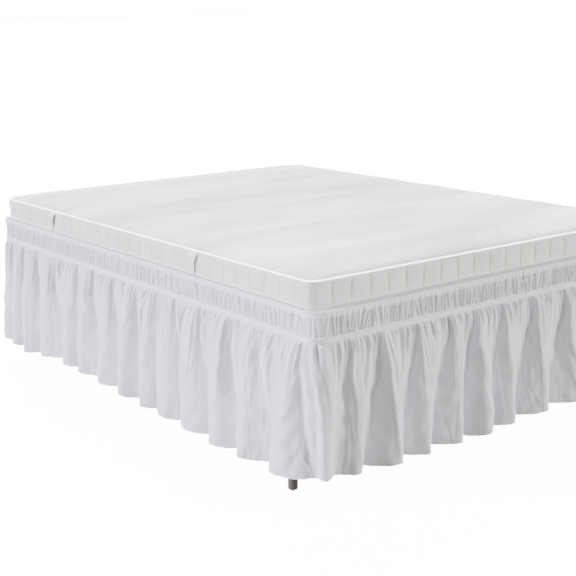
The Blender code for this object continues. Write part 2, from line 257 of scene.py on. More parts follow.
def woven_finish(name, colour, roughness, pitch, bump, cloud, slub, sheen):
    """Cloth with this thread pitch; cloud and slub say how much its colour varies."""
    finish, add, feed = new_finish(name, colour, roughness, sheen)
    thread = add("Attribute", {"attribute_name": "thread"}).outputs["Vector"]
    apart = add("SeparateXYZ", None, Vector=thread)
    waves = []
    for axis in ("X", "Y"):
        turns = add("Math", {"operation": "MULTIPLY"}, _0=apart.outputs[axis],
                    _1=2.0 * math.pi / pitch)
        waves.append(add("Math", {"operation": "SINE"}, _0=turns.outputs[0]).outputs[0])
    weave = add("Math", {"operation": "MULTIPLY"}, _0=waves[0], _1=waves[1])

    clouds = add("TexNoise", None, Vector=thread, Scale=CLOUDS_SCALE, Detail=3.0, Roughness=0.55)
    stretched = add("VectorMath", {"operation": "MULTIPLY"}, _0=thread, _1=SLUBS_STRETCH)
    slubs = add("TexNoise", None, Vector=stretched.outputs[0], Scale=1.0, Detail=2.0)
    part = slub / cloud
    mixed = add("Math", {"operation": "MULTIPLY_ADD"}, _0=slubs.outputs["Fac"], _1=part,
                _2=clouds.outputs["Fac"])
    low, high = 0.30 + part * 0.3, 0.70 + part * 0.7
    dark, light = tint(colour, -cloud), tint(colour, cloud)
    feed("Base Color", shaded(add, mixed.outputs[0], low, high, dark, light))

    fluff = add("TexNoise", None, Vector=thread, Scale=FLUFF_SCALE, Detail=2.0)
    relief = add("Math", {"operation": "MULTIPLY_ADD"}, _0=fluff.outputs["Fac"],
                 _1=FLUFF_SHARE, _2=weave.outputs[0])
    nap = add("Bump", None, Strength=bump, Distance=WEAVE_DEPTH, Height=relief.outputs[0])
    feed("Normal", nap.outputs["Normal"])
    return finish


SKIRT_WHITE = (0.752, 0.744, 0.816)
TAPE_WHITE = (0.862, 0.855, 0.935)
skirt_cloth = woven_finish("skirt_cloth", SKIRT_WHITE, 0.85, 0.0008, 0.25, 0.016, 0.010, 0.15)
tape_cloth = woven_finish("elastic_tape", TAPE_WHITE, 0.80, 0.0011, 0.40, 0.012, 0.014, 0.10)
print("finishes:", skirt_cloth.name, tape_cloth.name)

# %% [markdown]
# The tapes, the shirred strip and the hanging ruffle all run right round the bed, so they
# share one way of saying where a point is: how far along the bed's outline, how far out from
# it, and how high. The outline is a rectangle with rounded corners. Distances start at the
# middle of the near corner and run along the foot first. Round a corner the cloth fans out,
# and the lower it hangs the longer the stretch over which it turns.

# %% The outline that every piece of cloth follows
BASE_CORNER = 0.035
base_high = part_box("base")[1]


class Outline:
    """A rectangle with round corners, walked in metres from the middle of the near one."""

    def __init__(self, half_width, half_length, radius):
        x, y = half_width - radius, half_length - radius
        self.radius = radius
        self.arc = math.pi / 2 * radius
        self.centres = np.array([(-x, -y), (x, -y), (x, y), (-x, y)])
        self.straights = np.array([2 * x, 2 * y, 2 * x, 2 * y])
        self.corners = np.concatenate([[0.0], np.cumsum(self.straights + self.arc)])
        self.length = self.corners[-1]

    def even_steps(self, pitch):
        """Distances about this far apart, all the way round."""
        count = int(self.length / pitch)
        return np.arange(count) * self.length / count

    def to_corner(self, distance):
        """How far away the nearest corner is."""
        return np.min([np.abs(distance - corner) for corner in self.corners], axis=0)

    def facing(self, distance, spread):
        """Where the outline faces, if each corner turns over a stretch this long."""
        turned = np.full(np.shape(distance), math.pi)
        for corner in self.corners:
            share = np.clip((distance - corner) / spread, -0.5, 0.5) + 0.5
            turned = turned + math.pi / 2 * share
        return turned

    def points(self, distance, offset, height, spread=0.0):
        """Points this far along, this far out and this high; spread fans out the corners."""
        distance = np.mod(distance, self.length)
        side = np.searchsorted(self.corners[1:-1], distance)
        walk = np.clip(distance - self.corners[side] - self.arc / 2, 0.0, self.straights[side])
        along = side * math.pi / 2
        turned = self.facing(distance, self.arc)
        fanned = self.facing(distance, max(spread, self.arc))
        x = self.centres[side, 0] + walk * np.cos(along) + self.radius * np.cos(turned)
        y = self.centres[side, 1] + walk * np.sin(along) + self.radius * np.sin(turned)
        x = x + offset * np.cos(fanned)
        y = y + offset * np.sin(fanned)
        return np.stack([x, y, height + 0.0 * x], axis=-1)


bed = Outline(base_high[0], base_high[1], BASE_CORNER)
print("round the base:", round(bed.length, 3), "m")

# %% [markdown]
# Blender builds a mesh fastest from whole arrays. A cloth is handed over as a grid of points
# whose columns run along the strip and whose rows run down it, and one helper turns any such
# grid into an object, with the thread measure that the weave needs and a flat layout for
# later baking.

# %% Helper that turns a grid of points into cloth
def grid_piece(name, points, finish, thread=None, normals=None, wraps=False):
    """A piece of cloth on this grid of points; one that wraps has its ends joined."""
    columns, rows = points.shape[:2]
    numbers = np.arange(columns * rows).reshape(columns, rows)
    if wraps:
        numbers = np.vstack([numbers, numbers[:1]])
    sides = np.linspace(0, 1, len(numbers)), np.linspace(1, 0, rows)
    layout = np.stack(np.meshgrid(*sides, indexing="ij"), -1).reshape(-1, 2)
    places = np.arange(len(layout)).reshape(-1, rows)

    def corners(grid):
        around = [grid[:-1, :-1], grid[:-1, 1:], grid[1:, 1:], grid[1:, :-1]]
        return np.stack(around, -1).reshape(-1, 4)

    faces = corners(numbers)
    data = bpy.data.meshes.new(name)
    data.vertices.add(columns * rows)
    data.vertices.foreach_set("co", points.reshape(-1).astype(np.float32))
    data.loops.add(faces.size)
    data.loops.foreach_set("vertex_index", faces.reshape(-1))
    data.polygons.add(len(faces))
    data.polygons.foreach_set("loop_start", np.arange(0, faces.size, 4))
    data.update(calc_edges=True)
    flat = data.uv_layers.new(name="OFBake")
    flat.uv.foreach_set("vector", layout[corners(places)].reshape(-1).astype(np.float32))
    if thread is not None:
        measure = data.attributes.new("thread", "FLOAT_VECTOR", "POINT")
        measure.data.foreach_set("vector", thread.reshape(-1).astype(np.float32))
    data.validate()
    data.shade_smooth()
    if normals is not None:
        data.normals_split_custom_set_from_vertices(normals.reshape(-1, 3).tolist())
    data.materials.append(finish)
    piece = bpy.data.objects.new(name, data)
    bpy.context.scene.collection.objects.link(piece)
    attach(piece, "root")
    return piece


def walked(points):
    """The thread measure of a grid: metres along each row, and metres down each column."""
    steps = np.linalg.norm(np.diff(points, axis=0), axis=-1)
    along = np.concatenate([np.zeros((1, points.shape[1])), np.cumsum(steps, axis=0)])
    drops = np.linalg.norm(np.diff(points, axis=1), axis=-1)
    down = np.concatenate([np.zeros((points.shape[0], 1)), np.cumsum(drops, axis=1)], axis=1)
    return np.stack([along, down, 0 * along], -1)


def outward(points, wraps):
    """The direction each point of a grid faces."""
    if wraps:
        along = np.roll(points, -1, axis=0) - np.roll(points, 1, axis=0)
    else:
        along = np.gradient(points, axis=0)
    down = np.gradient(points, axis=1)
    normal = np.cross(down, along)
    return normal / np.linalg.norm(normal, axis=-1, keepdims=True)


print("helpers ready:", [helper.__name__ for helper in (grid_piece, walked, outward)])

# %% [markdown]
# Gathering pushes a long strip into a short one, and no two gathers are alike. Each is a
# small rounded ridge between two creases, with its own width, its own height, a slight
# slant and its own length before it dies away. A list of creases with random but fixed
# numbers describes them all, and the height of the cloth between two creases is half a wave.

# %% Gathers drawn from a fixed list of creases
Creases = namedtuple("Creases", "place slant reach height")
RIDGE_ROUND = 0.8
RIDGE_SUNK = 0.6
RIDGE_FADE = 1.3


def make_creases(seed, narrow, wide, slant, reach, height):
    """Creases at uneven distances round the bed; reach and height are (low, high)."""
    dice = np.random.default_rng(seed)
    steps = dice.uniform(narrow, wide, int(2 * bed.length / (narrow + wide)))
    places = np.cumsum(steps) * bed.length / steps.sum()
    count = len(places)
    return Creases(
        places,
        dice.normal(0.0, slant, count),
        dice.uniform(*reach, count),
        dice.uniform(*height, count),
    )


def gather_height(creases, distance, drop):
    """How far the gathers stand out at these distances, this share of the way down."""
    where = creases.place + creases.slant * drop
    order = np.argsort(where)
    where = where[order]
    ringed = np.concatenate([[where[-1] - bed.length], where, [where[0] + bed.length]])
    distance = np.mod(distance, bed.length)
    after = np.clip(np.searchsorted(ringed, distance), 1, len(ringed) - 1)
    width = np.maximum(ringed[after] - ringed[after - 1], 1e-4)
    share = np.clip((distance - ringed[after - 1]) / width, 0.0, 1.0)
    owner = order[(after - 1) % len(order)]
    left = 1.0 - np.clip(drop / creases.reach[owner], 0.0, 1.0)
    ridge = np.sin(math.pi * share) ** RIDGE_ROUND - RIDGE_SUNK
    return creases.height[owner] * ridge * left**RIDGE_FADE


print("each crease has a", ", ".join(Creases._fields))

# %% [markdown]
# The box base carries everything. On the real bed it is a wooden frame covered in plain
# upholstery cloth, and only a narrow ledge of it shows between the mattress and the skirt.
# Its solid is right as it is, so it only gets a finish: a coarse plain weave of off-white cloth,
# coloured a darker grey as painted shade, so that the narrow ledge reads as a shaded line.
# It has no thread measure, so this weave is drawn in the metres of the solid itself.

# %% Finish the base
CANVAS_DEPTH = 0.0005
WAVE_PERIOD = 0.314


def canvas_finish(name, colour, roughness, pitch, bump, cloud, stretch=(1, 1, 1)):
    """A coarse weave; stretch draws its patches of colour out into streaks."""
    finish, add, feed = new_finish(name, colour, roughness, 0.1)
    place = add("TexCoord").outputs["Object"]
    waves = []
    for axis in ("X", "Y", "Z"):
        settings = {"wave_type": "BANDS", "bands_direction": axis}
        wave = add("TexWave", settings, Vector=place, Scale=WAVE_PERIOD / pitch, Distortion=1.2)
        waves.append(wave.outputs["Fac"])
    both = add("Math", {"operation": "MULTIPLY"}, _0=waves[0], _1=waves[2])
    weave = add("Math", {"operation": "ADD"}, _0=both.outputs[0], _1=waves[1])
    drawn_out = add("Mapping", None, Vector=place, Scale=stretch)
    clouds = add("TexNoise", None, Vector=drawn_out.outputs[0], Scale=9.0, Detail=4.0)
    dark, light = tint(colour, -cloud), tint(colour, cloud)
    feed("Base Color", shaded(add, clouds.outputs["Fac"], 0.3, 0.7, dark, light))
    nap = add("Bump", None, Strength=bump, Distance=CANVAS_DEPTH, Height=weave.outputs[0])
    feed("Normal", nap.outputs["Normal"])
    return finish


def dress_node(name, finish):
    """Gives a solid that stays in the scene a better finish."""
    for slot in bpy.data.objects[name].material_slots:
        slot.material = finish


# The base's grey is painted shade: its off-white cloth is darkened so the ledge reads as a shaded
# line.
base_cloth = canvas_finish("base_canvas", (0.66, 0.66, 0.655), 0.9, 0.0016, 0.5, 0.03)
dress_node("base", base_cloth)
print("base dressed in", base_cloth.name)

# %% [markdown]
# Five round legs hold the base off the floor. They are painted steel in a warm dark
# grey, so the finish is smooth with a fine orange-peel, a little dust in patches that
# roughens it, and lighter patches in a narrow ring just above the floor.

# %% Finish the legs
LEG_GREY = (0.105, 0.092, 0.080)
LIGHT_RING_HEIGHT = 0.012
leg_paint, add, feed = new_finish("leg_paint", LEG_GREY, 0.42)
place = add("TexCoord").outputs["Object"]
height = add("SeparateXYZ", None, Vector=place).outputs["Z"]
# The colour is lighter in patches, within a narrow ring just above the floor.
ring_patches = add("TexNoise", None, Vector=place, Scale=160.0, Detail=3.0)
near_floor = add("MapRange", None, **{"Value": height, "From Min": LIGHT_RING_HEIGHT, "From Max": 0.0})
patchy = add("Math", {"operation": "MULTIPLY"}, _0=near_floor.outputs[0], _1=ring_patches.outputs["Fac"])
feed("Base Color", shaded(add, patchy.outputs[0], 0.15, 0.55, LEG_GREY, tint(LEG_GREY, 1.6)))
dust = add("TexNoise", None, Vector=place, Scale=35.0, Detail=4.0)
dull = add("MapRange", None, **{"Value": dust.outputs["Fac"], "To Min": 0.32, "To Max": 0.58})
feed("Roughness", dull.outputs[0])
peel = add("TexNoise", None, Vector=place, Scale=900.0, Detail=1.0)
skin = add("Bump", None, Strength=0.15, Distance=0.0003, Height=peel.outputs["Fac"])
feed("Normal", skin.outputs["Normal"])

legs = [name for name in frame["nodes"] if name.startswith("leg_")]
for name in legs:
    dress_node(name, leg_paint)
print(len(legs), "legs painted")

# %% [markdown]
# The mattress is a slab of foam in a sewn cover: a border strip quilted into upright channels,
# a top panel and a cord between them. The border is a closed body here. Each channel swells a
# few millimetres between two sewn lines, softly and unevenly, and less round the corners. A
# narrow rolled seam runs along the bottom, where the mattress rests on the base. A table gives
# the rows of the strip from the bottom up: the share of the height, and how far it tucks in.

# %% Mattress border with its sewn channels
CHANNEL_PITCH = 0.0722
CHANNEL_SWELL = 0.0040
SEAM_DEPTH = 0.0042
SEAM_HALF_WIDTH = 0.0035
MATTRESS_CORNER = 0.032
PIPING_HEIGHT = 0.680
BORDER_INSET = 0.0045
BORDER_STEP = 0.003
BORDER_DENT = 0.0018
BORDER_DENT_PACE = 23.0
BORDER_DENT_TURN = 5.0
BORDER_ROWS = (
    (0, 0.0002), (0.012, 0.0), (0.03, -0.0016), (0.055, -0.0016), (0.078, 0.0010),
    (0.105, 0.0004), (0.16, 0), (0.25, 0), (0.38, 0), (0.5, 0), (0.62, 0), (0.75, 0),
    (0.86, 0), (0.94, 0.0010), (0.98, 0.0060), (1.0, 0.010),
)
mattress_low, mattress_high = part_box("mattress")
border = Outline(mattress_high[0], mattress_high[1], MATTRESS_CORNER)


def border_points():
    distance = border.even_steps(BORDER_STEP)
    bottom, top = mattress_low[2], PIPING_HEIGHT - 0.001
    channels = round(border.length / CHANNEL_PITCH)
    dice = np.random.default_rng(11)
    strength = dice.uniform(0.35, 1.0, channels)
    nudges = dice.normal(0.0, 0.0015, channels)
    lanes = distance / border.length * channels
    lane = np.floor(lanes).astype(int) % channels
    across = lanes - np.floor(lanes)
    swell = np.sin(math.pi * across) ** 0.7 * strength[lane]
    to_seam = np.minimum(across, 1 - across) * CHANNEL_PITCH
    pinch = np.exp(-((to_seam / SEAM_HALF_WIDTH) ** 2))
    flat = np.clip(border.to_corner(distance) / MATTRESS_CORNER - 0.5, 0.15, 1.0)
    rows = []
    for share, tuck in BORDER_ROWS:
        fullness = math.sin(math.pi * share) ** 0.5 if 0 < share < 1 else 0.0
        phase = distance * BORDER_DENT_PACE + BORDER_DENT_TURN * share
        dents = BORDER_DENT * np.sin(phase) * fullness
        quilting = (CHANNEL_SWELL * swell - SEAM_DEPTH * pinch) * fullness * flat
        nudged = nudges[lane] * 0.3 * fullness * np.sin(math.pi * across)
        offset = -BORDER_INSET - tuck + quilting + dents + nudged
        rows.append(border.points(distance, offset, bottom + (top - bottom) * share))
    return np.stack(rows[::-1], axis=1)


def close_ends(piece, rows):
    """Fills the first and the last ring of a grid that wraps, to make a closed body."""
    mesh = bmesh.new()
    mesh.from_mesh(piece.data)
    mesh.verts.ensure_lookup_table()
    firsts = range(0, len(mesh.verts), rows)
    mesh.faces.new([mesh.verts[first] for first in firsts])
    mesh.faces.new([mesh.verts[first + rows - 1] for first in reversed(firsts)])
    mesh.to_mesh(piece.data)
    mesh.free()


ticking = canvas_finish("mattress_ticking", (0.79, 0.80, 0.775), 0.88, 0.0011, 0.35, 0.07)
points = border_points()
mattress_border = grid_piece("mattress_border", points, ticking, wraps=True)
close_ends(mattress_border, points.shape[1])
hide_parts("mattress")
print("border:", len(mattress_border.data.polygons), "faces")

# %% [markdown]
# The top panel is a soft crown. It dips into a groove beside the cord, rises over a wide
# shoulder and then stays nearly flat. Foam that has been slept on lies in broad shallow waves
# across the bed, and near the foot the cloth is pulled into short slanting swells. They are
# only millimetres high, and still they are most of what the eye reads as softness, so they are
# real shape. Broad streaks of painted light and shade in the finish run the same way as the
# waves and lighten and darken the panel in bands, as the waves' shading would. The table of
# waves gives how far along the bed each lies, its height, its width and how it turns.

# %% Mattress top panel
CROWN = 0.020
SHOULDER_SIDE = 0.20
SHOULDER_FOOT = 0.16
CELL = 0.012
PANEL_INSET = 0.004
CALM_SIDE = 0.20
CALM_FOOT = 0.12
Wave = namedtuple("Wave", "along height width turn")
TOP_WAVES = (
    Wave(-0.66, -0.0064, 0.045, 0.02),
    Wave(-0.42, 0.0064, 0.085, -0.06),
    Wave(-0.19, -0.0075, 0.075, -0.05),
    Wave(0.00, 0.0064, 0.080, 0.00),
    Wave(0.20, -0.0060, 0.085, 0.04),
    Wave(0.42, 0.0053, 0.070, 0.12),
    Wave(0.56, -0.0060, 0.060, 0.14),
    Wave(0.74, 0.0045, 0.090, 0.05),
)
PULL_PITCH = 0.145
PULL_REACH = 0.26
PULL_HEIGHT = 0.0060
PULL_SLANT = 0.55
GROOVE = 0.008
GROOVE_WIDTH = 0.014


def top_points():
    half_x, half_y = mattress_high[0] - PANEL_INSET, mattress_high[1] - PANEL_INSET
    columns, rows = round(2 * half_x / CELL), round(2 * half_y / CELL)
    x, y = np.meshgrid(
        np.linspace(-half_x, half_x, columns + 1),
        np.linspace(half_y, -half_y, rows + 1),
        indexing="ij",
    )
    into_x = np.abs(x) - (half_x - MATTRESS_CORNER)
    into_y = np.abs(y) - (half_y - MATTRESS_CORNER)
    in_corner = (into_x > 0) & (into_y > 0)
    far = np.hypot(into_x, into_y)
    squeeze = np.where(in_corner, np.maximum(into_x, into_y) / np.maximum(far, 1e-9), 1.0)
    round_x = np.where(in_corner, np.sign(x) * (half_x - MATTRESS_CORNER + into_x * squeeze), x)
    round_y = np.where(in_corner, np.sign(y) * (half_y - MATTRESS_CORNER + into_y * squeeze), y)
    edge_x = np.clip((half_x - np.abs(x)) / SHOULDER_SIDE, 0, 1)
    edge_y = np.clip((half_y - np.abs(y)) / SHOULDER_FOOT, 0, 1)
    rise = np.sqrt(1 - (1 - edge_x) ** 2) * np.sqrt(1 - (1 - edge_y) ** 2)
    soft = np.clip((half_x - np.abs(x)) / CALM_SIDE, 0, 1)
    soft = soft * np.clip((half_y - np.abs(y)) / CALM_FOOT, 0, 1)
    waves = np.zeros_like(x)
    for wave in TOP_WAVES:
        off = y - wave.along + wave.turn * x
        waves += wave.height * np.exp(-((off / wave.width) ** 2))
    inward = np.clip((y + half_y) / PULL_REACH, 0, 1)
    slanted = x - PULL_SLANT * (y + half_y)
    pulls = PULL_HEIGHT * np.sin(2 * math.pi * slanted / PULL_PITCH) * np.sin(math.pi * inward)
    to_edge = np.minimum(half_x - np.abs(x), half_y - np.abs(y))
    groove = GROOVE * np.exp(-((to_edge / GROOVE_WIDTH) ** 2))
    height = PIPING_HEIGHT + CROWN * rise + (waves + pulls) * soft - groove
    return np.stack([round_x, round_y, height], -1)


# The panel's strong, stretched colour streaks are painted light and shade for the waves.
PANEL_PAINTED_SHADE_STREAKS = (0.14, 0.62, 1.0)
panel_cloth = canvas_finish(
    "mattress_panel", (0.79, 0.79, 0.785), 0.88, 0.0011, 0.35, 0.31, PANEL_PAINTED_SHADE_STREAKS
)
mattress_top = grid_piece("mattress_top", top_points()[::-1], panel_cloth)
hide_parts("mattress")
print("top panel is", [round(side, 3) for side in mattress_top.dimensions])

# %% [markdown]
# The cord between the panel and the border is piping: a strip of shiny bias cloth sewn round a
# string. It catches the light as one bright line, so it is a real tube, a little uneven, with
# its fine weave running slantwise round it. Its bright line is also a painted highlight: the
# cord glows a little by itself, and it is kept from lighting its neighbours, so that the line
# stays crisp.

# %% Piping
PIPING_RADIUS = 0.0026
PIPING_OUT = 0.0003
PIPING_STEP = 0.005
PIPING_SIDES = 10
PIPING_WHITE = (0.97, 0.97, 0.96)
PIPING_PAINTED_HIGHLIGHT_GLOW = 4.6
BIAS_WEAVE = {"pitch": 0.0009, "bump": 0.3, "cloud": 0.01, "slub": 0.01, "sheen": 0.05}


def piping_points(distance):
    """Rings of points round the cord."""
    dice = np.random.default_rng(5)
    wobble = sum(
        dice.uniform(0.0001, 0.0003) * np.sin(2 * math.pi * number * distance / border.length)
        for number in (23, 61, 113)
    )
    rings = []
    for angle in np.linspace(0, 2 * math.pi, PIPING_SIDES + 1):
        out = PIPING_OUT + PIPING_RADIUS * math.cos(angle)
        height = PIPING_HEIGHT + 0.001 + wobble + PIPING_RADIUS * math.sin(angle)
        rings.append(border.points(distance, out, height))
    return np.stack(rings[::-1], axis=1)


distance = border.even_steps(PIPING_STEP)
points = piping_points(distance)
around = np.linspace(0, 2 * math.pi * PIPING_RADIUS, PIPING_SIDES + 1)
slantwise = [distance[:, None] + around, distance[:, None] - around, np.zeros(points.shape[:2])]
thread = np.stack(slantwise, -1)
piping_cloth = woven_finish("piping_cloth", PIPING_WHITE, 0.24, **BIAS_WEAVE)
# This glow is a painted highlight that brightens the cord's line; the cord is no lamp.
add_glow(piping_cloth, PIPING_PAINTED_HIGHLIGHT_GLOW)
piping = grid_piece("piping_cord", points, piping_cloth, thread, wraps=True)
piping.visible_diffuse = False
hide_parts("piping")
print("piping:", len(piping.data.polygons), "faces")

# %% [markdown]
# Four handles are sewn to the sides of the mattress. Each is a short folded strap with ribs
# down its length. It leans a little, is held down at its top and over its lower third, and
# stands off the border in between, where it is a little narrower. Their solids give the places.

# %% Handles
HANDLE_BOW = 0.0034
HANDLE_HELD = 0.04
HANDLE_FREE = 0.66
HANDLE_WAIST = 0.10
HANDLE_RIB = 0.0018
HANDLE_RIBS = 2.5
HANDLE_SLANT = 0.024
STRAP_THICK = 0.0018


def handle_points(low, high):
    side = 1.0 if low[0] > 0 else -1.0
    face = abs(low[0] if side > 0 else high[0]) + STRAP_THICK
    middle, half = (low[1] + high[1]) / 2, (high[1] - low[1]) / 2
    across, down = np.meshgrid(np.linspace(-1, 1, 15), np.linspace(0, 1, 25), indexing="ij")
    standing = np.sin(math.pi * np.clip((down - HANDLE_HELD) / HANDLE_FREE, 0, 1))
    waist = 1 - HANDLE_WAIST * standing
    out = face + HANDLE_BOW * standing - HANDLE_RIB * np.cos(HANDLE_RIBS * math.pi * across)
    y = middle + side * across * half * waist + HANDLE_SLANT * (down**0.7 - 0.5)
    z = high[2] + (low[2] - high[2]) * down
    return np.stack([side * out, y, z], -1)


webbing = woven_finish("strap_webbing", (0.95, 0.95, 0.945), 0.5, **BIAS_WEAVE)
for name in [name for name in frame["nodes"] if name.startswith("handle_")]:
    points = handle_points(*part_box(name))
    strap = grid_piece(name + "_strap", points, webbing, walked(points))
    strap.modifiers.new("thickness", "SOLIDIFY").thickness = STRAP_THICK
    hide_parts(name)
    print(strap.name, "placed")

# %% [markdown]
# Two flat elastic tapes grip the base, and between them the cloth is shirred: squeezed to
# about three quarters of its length, so it stands up in tight little pleats. They lean one way
# or the other, and where two lean towards each other they cross. Lists of creases on top of
# one another, slanting in different ways, give that. Round the corners of the bed the tapes
# pull the strip flatter.

# %% The creases of the shirred strip
SHIRR_SHARE = 0.80
CORNER_CALM = 0.75
CORNER_REACH = 0.04
upright = make_creases(41, 0.008, 0.018, 0.011, (5, 6), (0.0065, 0.0110))
crossing = make_creases(42, 0.012, 0.030, 0.020, (0.4, 1.6), (0.003, 0.0080))
wander = make_creases(43, 0.022, 0.060, 0.010, (5, 6), (0.004, 0.009))


def shirred(distance, share):
    """How far the pleats stand out; share is 0 at the top of the strip and 1 below."""
    ridges = gather_height(upright, distance, share - 0.5)
    crossed = gather_height(crossing, distance, abs(share - 0.5))
    broad = gather_height(wander, distance, share - 0.5)
    calm = 1 - CORNER_CALM * np.exp(-((bed.to_corner(distance) / CORNER_REACH) ** 2))
    return (ridges + crossed + broad) * SHIRR_SHARE * calm


print(len(upright.place), "pleats")

# %% [markdown]
# Each tape runs inside a narrow casing of the skirt's own cloth, so it is not quite smooth:
# the casing ripples, and its edges wander by a millimetre or two. The pleats run on into both
# casings, right across the upper one in places and a few millimetres into the lower one, and
# that gives them ragged edges. A rounded strip with a rippling face makes each tape. Its
# profile is a list of points: how many half thicknesses out, and how many half widths up.

# %% Elastic tapes
TAPE_OFFSET = 0.0068
TAPE_HALF = 0.0016
TAPE_STEP = 0.0024
upper_low, upper_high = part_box("upper_band")
lower_low, lower_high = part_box("lower_band")
TAPE_PROFILE = (
    (0.0, -1.0), (0.75, -1.0), (1.0, -0.97), (1.15, -0.90), (1.2, -0.72), (1.2, -0.5),
    (1.2, -0.25), (1.2, 0.0), (1.2, 0.25), (1.2, 0.5), (1.2, 0.72), (1.15, 0.90),
    (1.0, 0.97), (0.75, 1.0), (0.0, 1.0), (-3.4, 1.0), (-3.4, 0.95), (-1.0, -0.95), (0.0, -1.0),
)


def tape_points(bottom, top, seed, side, reach):
    """A tape's rings; the pleats run into its face from this side (-1 is from below)."""
    distance = bed.even_steps(TAPE_STEP)
    ripples = make_creases(seed, 0.006, 0.014, 0.002, (8, 9), (0.0006, 0.0014))
    edges = make_creases(seed + 1, 0.009, 0.019, 0.0, (8, 9), (0.0008, 0.0020))
    reaches = make_creases(seed + 2, 0.012, 0.040, 0.0, (8, 9), reach)
    reach_here = gather_height(reaches, distance, 0.5) + 0.6 * max(reach)
    pleats = shirred(distance, 0.0 if side < 0 else 1.0)
    middle, half = (bottom + top) / 2, (top - bottom) / 2
    rings = []
    for out, up in TAPE_PROFILE:
        ripple = gather_height(ripples, distance + 0.0015 * up, 0.5)
        edge = gather_height(edges, distance, 0.5) * abs(up) ** 3
        face = max(out, 0.0)
        into = (1 - side * up) / 2
        pleat = pleats * np.clip(1 - into / np.maximum(reach_here, 0.05), 0.0, 1.0) ** 1.2
        offset = TAPE_OFFSET + TAPE_HALF * out
        offset = offset + (ripple * (0.35 + 0.65 * abs(up)) + pleat) * face
        offset = np.maximum(offset, TAPE_OFFSET + TAPE_HALF * min(out, 0.2))
        rings.append(bed.points(distance, offset, middle + half * up + edge * up))
    return np.stack(rings[::-1], axis=1)


def add_tape(name, node, bottom, top, seed, side, reach):
    points = tape_points(bottom, top, seed, side, reach)
    tape = grid_piece(name, points, tape_cloth, walked(points), wraps=True)
    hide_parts(node)
    return tape


upper_tape = add_tape("upper_tape", "upper_band", upper_low[2], upper_high[2], 21, -1, (0.5, 1.3))
lower_tape = add_tape("lower_tape", "lower_band", lower_low[2], lower_high[2], 31, 1, (0.1, 0.4))
print("tapes:", [len(tape.data.polygons) for tape in (upper_tape, lower_tape)])

# %% [markdown]
# The shirred strip is a grid of its own between the tapes. It tucks in behind both, and it is
# pinched flat where the lower tape holds it. Its rows lie closer together near the tapes.

# %% Shirred strip
TUCK = 0.004
CLOTH_OUT = 0.0062
CLOTH_IN = 0.0030
SHIRR_STEP = 0.0016
LEAST_OUT = 0.0008
SHIRR_ROWS = (
    0.0, 0.05, 0.09, 0.14, 0.2, 0.28, 0.37, 0.46, 0.55, 0.64, 0.72, 0.8, 0.86, 0.91, 0.95, 1.0,
)


def heading_points():
    distance = bed.even_steps(SHIRR_STEP)
    top, bottom = upper_low[2] + TUCK, lower_high[2] - TUCK
    rows = []
    for share in SHIRR_ROWS:
        free = min(1.0, share / 0.07, max(0.0, 0.97 - share) / 0.11)
        relief = shirred(distance, share) * (0.25 + 0.75 * free**0.6)
        offset = CLOTH_IN + (CLOTH_OUT - CLOTH_IN) * free**0.7 + relief
        offset = np.maximum(offset, LEAST_OUT)
        rows.append(bed.points(distance, offset, top + (bottom - top) * share))
    return np.stack(rows, axis=1)


points = heading_points()
thread = walked(points)
heading = grid_piece("shirred_strip", points, skirt_cloth, thread, wraps=True)
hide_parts("heading")

# %% [markdown]
# The ruffle is the skirt itself. At the lower tape its cloth starts in the same tight
# gathers, and as it falls they merge into deep folds. Each fold has a flat crest with two
# edges. Walking away from the near corner, the cloth climbs to the near edge, lies flat as
# far as the outer edge and turns sharply back to the bed. A table names every fold once. Its
# columns are the place of the outer edge at the hem, the width of the flat crest there, the
# depth of the fold, how far its top lies to one side, how far down the tight crease before
# it runs, and the height of the hem.

# %% The folds of the ruffle
Fold = namedtuple("Fold", "edge face depth lean crease hem")
FOOT_FOLDS = (
    Fold(0.032, 0.007, 0.032, -0.045, 0.40, 0.098),
    Fold(0.113, 0.009, 0.046, 0.004, 0.30, 0.100),
    Fold(0.250, 0.017, 0.078, -0.008, 0.45, 0.105),
    Fold(0.369, 0.007, 0.068, 0.012, 0.35, 0.103),
    Fold(0.514, 0.008, 0.064, 0.002, 0.25, 0.103),
    Fold(0.636, 0.026, 0.077, 0.012, 0.30, 0.107),
    Fold(0.751, 0.015, 0.065, 0.008, 0.20, 0.111),
    Fold(0.905, 0.020, 0.073, 0.004, 0.30, 0.120),
    Fold(1.068, 0.012, 0.069, -0.004, 0.40, 0.116),
    Fold(1.210, 0.018, 0.070, 0.006, 0.25, 0.110),
    Fold(1.335, 0.010, 0.062, 0.000, 0.35, 0.106),
    Fold(1.431, 0.014, 0.056, 0.004, 0.30, 0.104),
    Fold(1.515, 0.010, 0.040, 0.000, 0.30, 0.103),
)
SIDE_FOLDS = (
    Fold(0.138, 0.035, 0.062, -0.060, 0.25, 0.095),
    Fold(0.287, 0.036, 0.072, 0.006, 0.35, 0.099),
    Fold(0.432, 0.038, 0.076, 0.010, 0.70, 0.097),
    Fold(0.598, 0.032, 0.073, 0.008, 0.42, 0.101),
    Fold(0.749, 0.038, 0.073, 0.020, 0.20, 0.104),
    Fold(0.862, 0.018, 0.072, 0.002, 0.30, 0.104),
    Fold(1.001, 0.030, 0.080, 0.004, 0.45, 0.110),
    Fold(1.166, 0.034, 0.070, 0.010, 0.30, 0.112),
    Fold(1.319, 0.028, 0.069, 0.006, 0.40, 0.114),
    Fold(1.429, 0.022, 0.071, 0.004, 0.25, 0.118),
    Fold(1.633, 0.034, 0.068, 0.000, 0.50, 0.108),
    Fold(1.777, 0.026, 0.076, 0.006, 0.30, 0.090),
    Fold(1.900, 0.026, 0.068, 0.004, 0.35, 0.098),
    Fold(1.985, 0.016, 0.056, 0.000, 0.30, 0.098),
)
print("folds:", len(FOOT_FOLDS), "at the foot and", len(SIDE_FOLDS), "on a side")

